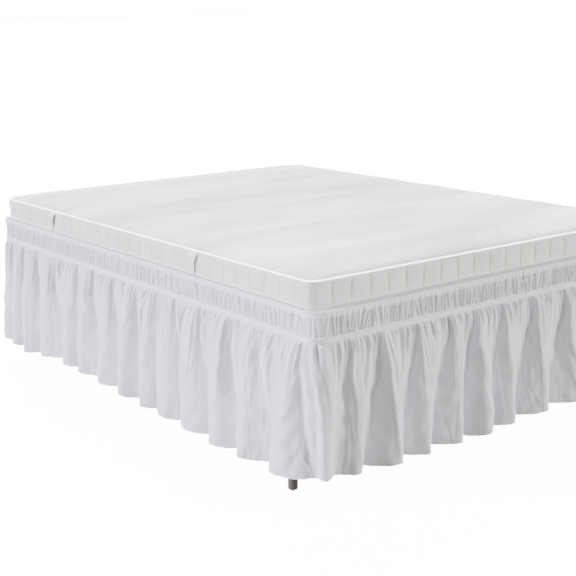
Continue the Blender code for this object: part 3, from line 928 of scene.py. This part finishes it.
# %% [markdown]
# The head of the bed mirrors its foot, and the left side mirrors the right one. Round the
# whole bed that makes one ring of folds, and a fold that is mirrored has its edges the other
# way round: its hand is -1. The climb to a crest is sharp from top to bottom at the foot of
# the bed. On the long sides it starts wide and well rounded at the tape.

# %% The ring of folds
RingFold = namedtuple("RingFold", "crest hand face depth lean crease hem climb")
Climb = namedtuple("Climb", "wide_at_tape round_at_tape round_at_hem")
FOOT_CLIMB = Climb(0.006, 1.15, 1.15)
SIDE_CLIMB = Climb(0.022, 3.0, 1.3)


def ring_fold(fold, place, hand, climb):
    """A fold set on the ring; its crest is the edge that the flank climbs to."""
    crest = place - hand * fold.face
    lean = hand * fold.lean
    return RingFold(crest, hand, fold.face, fold.depth, lean, fold.crease, fold.hem, climb)


def ring_of_folds():
    _, right_start, _, left_start, length = bed.corners
    ring = []
    for fold in FOOT_FOLDS:
        ring.append(ring_fold(fold, fold.edge, 1, FOOT_CLIMB))
        ring.append(ring_fold(fold, left_start - fold.edge, -1, FOOT_CLIMB))
    for fold in SIDE_FOLDS:
        ring.append(ring_fold(fold, right_start + fold.edge, 1, SIDE_CLIMB))
        ring.append(ring_fold(fold, length - fold.edge, -1, SIDE_CLIMB))
    return sorted(ring)


folds = ring_of_folds()
crest_at = np.array([fold.crest for fold in folds])
crest_hem = np.array([fold.hem for fold in folds])
print(len(folds), "folds round the bed")

# %% [markdown]
# No crest runs straight down. Each one sways a few millimetres to both sides, its flank
# bulges or hollows a little, and its face starts wider or narrower than the next. These
# differences are thrown with fixed dice, so they are the same every time.

# %% Let every fold differ
SWAY = 0.004
SLOW_TURNS = 1.6
QUICK_TURNS = 4.4
QUICK_SHARE = 0.6
dice = np.random.default_rng(54)
sways = dice.normal(0.0, SWAY, (len(folds), 2))
phases = dice.uniform(0.0, 2 * math.pi, (len(folds), 2))
bulges = dice.uniform(-0.10, 0.12, len(folds))
widths = dice.uniform(0.7, 1.2, len(folds))


def crest_place(number, drop):
    """Where a crest is at one height: over its hem, or a little to one side."""
    fold = folds[number]
    slow = sways[number, 0] * math.sin(SLOW_TURNS * math.pi * drop + phases[number, 0])
    quick = sways[number, 1] * math.sin(QUICK_TURNS * math.pi * drop + phases[number, 1])
    held = min(1.0, drop * 5) * min(1.0, (1 - drop) * 2.5)
    aside = fold.lean * (1 - drop) + fold.hand * fold.climb.wide_at_tape * (1 - drop**2)
    return fold.crest + aside + (slow + QUICK_SHARE * quick) * held


print("the widest sway is", round(float(np.abs(sways).max()), 3), "m")

# %% [markdown]
# Near the tape the crests are wide and the valleys between them end in a tight crease, right
# at the foot of the next climb. Lower down the crests narrow, and the climb turns into a long
# straight flank. So the section of a fold is a bent line through a few knots, and each knot
# slides from its place at the tape to its place at the hem.

# %% Section through the folds at one height
WIDE_FACE = 0.058
FACE_FALL = 0.07
FACE_SHARE = 0.42
WALL_AT_TAPE = 0.008
WALL_AT_HEM = 0.20
FLANK_AT_HEM = 0.66
FLANK_KNOTS = (0.3, 0.55, 0.75, 0.9)
CREASE_HOLDS_FOR = 0.7
OPENING = 0.8
FLOOR_RISE = 0.30
FOLD_GROWTH = 0.62


def outer_knots(number, drop, pitch):
    """Over the flat face and down the steep wall: (distance, share of depth)."""
    fold = folds[number]
    wide = min(WIDE_FACE * widths[number], FACE_SHARE * pitch)
    face = fold.face + (wide - fold.face) * (1 - drop)
    wall = WALL_AT_TAPE + (WALL_AT_HEM * pitch - WALL_AT_TAPE) * drop**1.5
    return [(face, 1 - FACE_FALL), (face + wall, FLOOR_RISE * (1 - drop))]


def inner_knots(number, drop, pitch):
    """Down the flank, straight or well rounded, to the crease."""
    fold = folds[number]
    start = fold.crease * CREASE_HOLDS_FOR
    opened = max(0.0, (drop - start) / (1 - start)) ** OPENING
    climb = fold.climb
    flank = climb.wide_at_tape + (FLANK_AT_HEM * pitch - climb.wide_at_tape) * opened
    rounded = climb.round_at_hem + (climb.round_at_tape - climb.round_at_hem) * (1 - drop) ** 1.5
    knots = []
    for done in FLANK_KNOTS:
        bulge = bulges[number] * opened * math.sin(math.pi * done)
        knots.append((flank * done, 1 - done**rounded + bulge))
    return knots + [(flank, 0.0)]


print("knots of one fold:", len(outer_knots(0, 0.5, 0.1)) + len(inner_knots(0, 0.5, 0.1)))

# %% [markdown]
# The folds are then joined into one bent line round the bed. Where two flanks face each other
# over a valley, the deeper fold takes more of the room, and where the knots of two neighbours
# would overlap they are all drawn in.

# %% Join the folds into a ring
FACING_ROOM = 1.4
ROOM_USED = 0.97


def section(drop):
    """The knots of the whole ring, and which of them are crests."""
    depth = drop**FOLD_GROWTH
    tops = [crest_place(number, drop) for number in range(len(folds))]
    at, out, crests = [], [], []
    for number, fold in enumerate(folds):
        ahead = (number + 1) % len(folds)
        start = tops[number]
        end = tops[ahead] + (bed.length if ahead == 0 else 0.0)
        crests.append(len(at))
        at.append(start)
        out.append(fold.depth * depth)
        leaving = outer_knots if fold.hand > 0 else inner_knots
        arriving = inner_knots if folds[ahead].hand > 0 else outer_knots
        rooms = [end - start, end - start]
        if fold.hand < 0 < folds[ahead].hand:
            part = fold.depth**2 / (fold.depth**2 + folds[ahead].depth**2)
            rooms = [FACING_ROOM * rooms[0] * part, FACING_ROOM * rooms[1] * (1 - part)]
        near = leaving(number, drop, rooms[0])
        far = arriving(ahead, drop, rooms[1])
        fit = min(1.0, ROOM_USED * (end - start) / (near[-1][0] + far[-1][0]))
        for away, share in near:
            at.append(start + away * fit)
            out.append(fold.depth * depth * share)
        for away, share in reversed(far):
            at.append(end - away * fit)
            out.append(folds[ahead].depth * depth * share)
    crests.append(len(at))
    at.append(tops[0] + bed.length)
    out.append(folds[0].depth * depth)
    return np.array(at), np.array(out), crests


print("knots in the section:", len(section(0.5)[0]))

# %% [markdown]
# The threads of the cloth hang down from crest to crest. Between two crests there is always
# the same number of them, and they are spread evenly along the bent line, so a steep wall
# gets as many as a flat face. Then the corners of the bent line are rounded, a little more
# towards the hem, by taking a soft average of neighbours.

# %% Hang the threads on the section
THREAD_PITCH = 0.0026
CLOTH_FULLNESS = 1.25
ROUNDING = (1.5, 2.2)
threads_between = [
    max(12, round(gap * CLOTH_FULLNESS / THREAD_PITCH))
    for gap in np.diff(np.append(crest_at, crest_at[0] + bed.length))
]
THREADS = sum(threads_between)
thread_share = np.concatenate(
    [number + np.arange(count) / count for number, count in enumerate(threads_between)]
)


def softened(values, reach):
    """A soft average round the ring, reaching this many threads."""
    waves = np.fft.rfft(values)
    pace = np.fft.rfftfreq(len(values))
    return np.fft.irfft(waves * np.exp(-2 * (math.pi * pace * reach) ** 2), len(values))


def hung_threads(drop):
    """Distance along the outline, and how far out, of every thread at one height."""
    at, out, crests = section(drop)
    steps = np.hypot(np.diff(at), np.diff(out))
    walked_to = np.concatenate([[0.0], np.cumsum(steps)])
    walk = np.interp(thread_share, np.arange(len(crests)), walked_to[crests])
    place = np.interp(walk, walked_to, at)
    height = np.interp(walk, walked_to, out)
    even = place[0] + np.arange(THREADS) * bed.length / THREADS
    reach = ROUNDING[0] + (ROUNDING[1] - ROUNDING[0]) * drop
    return even + softened(place - even, reach), softened(height, reach)


print(THREADS, "threads")

# %% [markdown]
# Between the gathers and the folds there is a middle layer. Here and there a gather runs on
# down a flank as a long soft ridge until it melts into a crest. Each row of these tables is
# one such ridge: where it leaves the tape, where it ends, how far down that is, how high it
# stands and how wide it is.

# %% Ridges that run down the flanks
Ridge = namedtuple("Ridge", "start end reach height width")
FOOT_RIDGES = (
    Ridge(0.052, 0.040, 0.45, 0.005, 0.008),
    Ridge(0.078, 0.066, 0.30, 0.005, 0.007),
    Ridge(0.185, 0.157, 0.55, 0.007, 0.008),
    Ridge(0.208, 0.200, 0.22, 0.005, 0.007),
    Ridge(0.317, 0.316, 0.42, 0.007, 0.007),
    Ridge(0.340, 0.334, 0.22, 0.005, 0.008),
    Ridge(0.437, 0.430, 0.35, 0.006, 0.007),
    Ridge(0.466, 0.438, 0.52, 0.007, 0.008),
    Ridge(0.592, 0.578, 0.28, 0.006, 0.008),
    Ridge(0.716, 0.702, 0.34, 0.007, 0.008),
    Ridge(0.812, 0.790, 0.36, 0.006, 0.008),
    Ridge(0.850, 0.840, 0.24, 0.005, 0.008),
    Ridge(0.985, 0.965, 0.45, 0.006, 0.009),
    Ridge(1.130, 1.115, 0.35, 0.006, 0.008),
    Ridge(1.270, 1.255, 0.45, 0.006, 0.009),
    Ridge(1.390, 1.380, 0.35, 0.005, 0.008),
)
SIDE_RIDGES = (
    Ridge(0.030, 0.022, 0.40, 0.009, 0.008),
    Ridge(0.118, 0.112, 0.35, 0.008, 0.008),
    Ridge(0.198, 0.186, 0.70, 0.022, 0.023),
    Ridge(0.345, 0.335, 0.30, 0.009, 0.008),
    Ridge(0.490, 0.478, 0.35, 0.010, 0.009),
    Ridge(0.545, 0.540, 0.50, 0.012, 0.009),
    Ridge(0.660, 0.650, 0.40, 0.010, 0.009),
    Ridge(0.700, 0.690, 0.30, 0.009, 0.008),
    Ridge(0.795, 0.788, 0.40, 0.009, 0.008),
    Ridge(0.905, 0.890, 0.45, 0.010, 0.009),
    Ridge(1.060, 1.045, 0.45, 0.010, 0.009),
    Ridge(1.225, 1.210, 0.40, 0.010, 0.009),
    Ridge(1.370, 1.360, 0.45, 0.010, 0.009),
    Ridge(1.500, 1.485, 0.45, 0.009, 0.010),
    Ridge(1.560, 1.550, 0.35, 0.009, 0.009),
    Ridge(1.700, 1.690, 0.40, 0.009, 0.009),
    Ridge(1.840, 1.830, 0.40, 0.009, 0.009),
)
print("ridges:", len(FOOT_RIDGES), "at the foot and", len(SIDE_RIDGES), "on a side")

# %% [markdown]
# The ridges are mirrored round the bed as the folds are. Each is a soft bump across the
# thread. It is lower at the tape, slides towards its end, widens as it goes and dies there.

# %% Set the ridges on the ring
RIDGE_START = 0.12


def mirrored(ridge, end):
    """The same ridge, walked back from this end."""
    return ridge._replace(start=end - ridge.start, end=end - ridge.end)


def ring_of_ridges():
    _, right_start, _, left_start, length = bed.corners
    ridges = []
    for ridge in FOOT_RIDGES:
        ridges += [ridge, mirrored(ridge, left_start)]
    for ridge in SIDE_RIDGES:
        moved = ridge._replace(start=right_start + ridge.start, end=right_start + ridge.end)
        ridges += [moved, mirrored(ridge, length)]
    return ridges


def ridge_height(distance, drop):
    """How far the ridges stand out at these distances, this share of the way down."""
    total = np.zeros_like(distance)
    for ridge in ridges:
        done = drop / ridge.reach
        if done >= 1:
            continue
        where = ridge.start + (ridge.end - ridge.start) * done
        rising = RIDGE_START + (1 - RIDGE_START) * done
        strength = ridge.height * math.sin(math.pi * rising) ** RIDGE_ROUND
        away = np.mod(distance - where + bed.length / 2, bed.length) - bed.length / 2
        wide = ridge.width * (0.7 + 0.5 * done)
        total += strength * np.exp(-((away / wide) ** 2))
    return total


ridges = ring_of_ridges()
print(len(ridges), "long ridges")

# %% [markdown]
# The gathers of the ruffle are lists of creases again, from fine ones that die out just below
# the tape to thin ones that reach the hem. Soft swells, slanting wrinkles and the puckers of
# the hem come on top. Last there are broad shallow dents, as waves that cross each other:
# cloth that hangs still is never quite even.

# %% The small shapes of the ruffle
fine_gathers = make_creases(51, 0.008, 0.017, 0.014, (0.06, 0.26), (0.0070, 0.0130))
long_gathers = make_creases(52, 0.016, 0.036, 0.016, (0.14, 0.46), (0.0060, 0.0150))
thin_gathers = make_creases(56, 0.011, 0.026, 0.018, (0.30, 1.10), (0.0036, 0.0090))
soft_swells = make_creases(53, 0.050, 0.110, 0.050, (0.9, 2.2), (0.0015, 0.0050))
hem_puckers = make_creases(55, 0.010, 0.026, 0.010, (2, 3), (0.0014, 0.0042))
wrinkles = make_creases(57, 0.011, 0.034, 0.060, (1.2, 3.0), (0.0016, 0.0042))

DENT_COUNT = 16
DENT_HEIGHT = 0.0004
dice = np.random.default_rng(58)
dent_turns = dice.integers(60, 200, DENT_COUNT)
dent_falls = dice.uniform(-42, 42, DENT_COUNT)
dent_starts = dice.uniform(0, 2 * math.pi, DENT_COUNT)


def dents(drop):
    """How far the dents stand out along one row."""
    share = np.arange(THREADS) / THREADS * 2 * math.pi
    total = np.zeros(THREADS)
    for turns, falls, start in zip(dent_turns, dent_falls, dent_starts):
        total += np.sin(turns * share + falls * drop + start)
    return DENT_HEIGHT * total * min(1.0, drop * 3)


print(len(fine_gathers.place), "fine gathers")

# %% [markdown]
# Now the layers are added up for every row of the cloth, from the tape down to the hem. The
# rows lie close together near the top, where the gathers are small, and again at the hem.
# Every thread keeps its length, so where the cloth leans out it hangs less low. The table of
# folds gives the height of the hem, the valleys end a little higher than the crests, and the
# edge is slightly ragged.

# %% Lay out the ruffle
VALLEY_FLARE = 0.012
VALLEY_LIFT = 0.008
FULL_FOLD = 0.06
CORNER_FAN = 0.24
HEM_RAGGED = 0.9
HEM_SEAM = 0.9505
PUCKER_REACH = 0.028
HEM_ROWS = (0.944, HEM_SEAM, 0.957, 0.975, 1.0)
ruffle_top = lower_low[2] + TUCK
tape_place = hung_threads(0.0)[0]


def ruffle_relief(drop, place, free):
    """How far all the small shapes of one row stand out from the folds."""
    fine = gather_height(fine_gathers, tape_place, drop)
    long = gather_height(long_gathers, tape_place, drop)
    thin = gather_height(thin_gathers, tape_place, drop)
    swells = gather_height(soft_swells, tape_place, drop) * min(1.0, drop * 3)
    wrinkled = gather_height(wrinkles, tape_place, drop) * min(1.0, drop * 4)
    sewn = math.exp(-(((drop - HEM_SEAM) / PUCKER_REACH) ** 2))
    puckers = gather_height(hem_puckers, tape_place, drop) * sewn
    pinched = 0.25 + 0.75 * free
    relief = (fine + (long + thin) * min(1.0, 0.4 + drop * 6)) * pinched + swells
    return relief + ridge_height(place, drop) * free + puckers + wrinkled + dents(drop)


def ruffle_row(drop):
    """One row of the cloth; drop is 0 at the tape and 1 at the hem."""
    place, folded = hung_threads(drop)
    free = min(1.0, max(0.0, drop - 0.008) / 0.02)
    relief = ruffle_relief(drop, place, free)
    offset = CLOTH_IN + (CLOTH_OUT - CLOTH_IN) * free + VALLEY_FLARE * drop + folded + relief
    offset = np.maximum(offset, LEAST_OUT + 0.006 * drop)
    drop_here = ruffle_top - np.interp(place, crest_at, crest_hem, period=bed.length)
    drop_here = drop_here - VALLEY_LIFT * drop * (1 - np.minimum(folded / FULL_FOLD, 1.0))
    lean_out = offset - CLOTH_OUT
    fall = np.sqrt(np.maximum((drop_here * drop) ** 2 - lean_out**2, 0.0)) if drop else 0.0
    fall = np.maximum(fall, drop_here * drop * 0.9)
    fall = fall + HEM_RAGGED * gather_height(hem_puckers, tape_place, drop) * drop**8
    return bed.points(place, offset, ruffle_top - fall, CORNER_FAN * drop)


upper_rows = np.linspace(0, 1, 38) ** 1.35 * 0.935
rows = np.concatenate([upper_rows, HEM_ROWS])
outer = np.stack([ruffle_row(drop) for drop in rows], axis=1)
print("ruffle grid:", outer.shape[:2])

# %% [markdown]
# The hem is folded up inside by two centimetres and sewn. The fold is real: the grid goes
# round the lower edge and a little way up behind, one thickness of cloth further in, and the
# row of stitches is pulled in by half a millimetre. Each point carries the direction that it
# faces, so that the sharp lower edge is shaded as an edge and not as a ball.

# %% Fold up the hem
CLOTH_THICK = 0.0012
STITCH_WIDTH = 0.004
STITCH_DEPTH = 0.0006
BEHIND_ROWS = [-1, -2, -4]
facing = outward(outer, True)
stitched = np.exp(-(((rows - HEM_SEAM) / STITCH_WIDTH) ** 2)) * STITCH_DEPTH
outer = outer - facing * stitched[None, :, None]
lip = outer[:, -1] - facing[:, -1] * CLOTH_THICK / 2 - np.array([0, 0, CLOTH_THICK / 2])
behind = outer[:, BEHIND_ROWS] - facing[:, BEHIND_ROWS] * CLOTH_THICK
ruffle = np.concatenate([outer, lip[:, None], behind], axis=1)
lip_normal = np.zeros_like(lip) + np.array([0, 0, -1.0])
normals = np.concatenate([facing, lip_normal[:, None], -facing[:, BEHIND_ROWS]], axis=1)
thread = walked(ruffle)
mean_along = thread[:, len(rows) // 2, 0].copy()
thread[..., 0] = mean_along[:, None]
print("cloth along the middle:", round(float(mean_along[-1]), 2), "m")

# %% [markdown]
# One ring of cloth this fine is too heavy for a single mesh, so it is cut into four panels,
# one for each side of the bed, where a real skirt has its seams as well. Each panel keeps the
# directions that the whole ring had along its cut edges, and so no line shows between them.

# %% Cut the ring into panels
def cut_panel(name, first, last):
    """A panel from one thread to another, and the length of its cloth at mid-height."""
    picked = np.mod(np.arange(first, last + 1), THREADS)
    panel = grid_piece(name, ruffle[picked], skirt_cloth, thread[picked], normals[picked])
    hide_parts("ruffle")
    steps = np.linalg.norm(np.diff(ruffle[picked][:, len(rows) // 2], axis=0), axis=-1)
    return panel, float(steps.sum())


PANEL_NAMES = ("ruffle_foot", "ruffle_right", "ruffle_head", "ruffle_left")
cuts = [0] + [int(np.searchsorted(tape_place, corner)) for corner in bed.corners[1:4]] + [THREADS]
for number, name in enumerate(PANEL_NAMES):
    panel, cloth_length = cut_panel(name, cuts[number], cuts[number + 1])

# %% [markdown]
# A sheet's flat size is what a cutter would lay out, and here the tapes are given as they lie
# on the bed. The strip is gathered by both tapes, and the tapes are stretched round the base.

print("sheets:", heading.name, upper_tape.name, lower_tape.name)

# %% [markdown]
# The floor's paint is a pale white with a faint mottling, so that the legs and the shadow of
# the skirt have something to stand on. It shines by itself, as a lit studio floor does, and
# that keeps the shadow light.

# %% Finish the floor
FLOOR_GLOW = 14.0
floor_paint, add, feed = new_finish("studio_floor", (0.90, 0.90, 0.90), 0.7)
place = add("TexCoord").outputs["Object"]
mottle = add("TexNoise", None, Vector=place, Scale=3.0, Detail=3.0)
feed("Base Color", shaded(add, mottle.outputs["Fac"], 0.0, 1.0, [0.89] * 3, [0.91] * 3))
add_glow(floor_paint, FLOOR_GLOW)
floor.data.materials.append(floor_paint)
print("floor finish:", floor_paint.name)
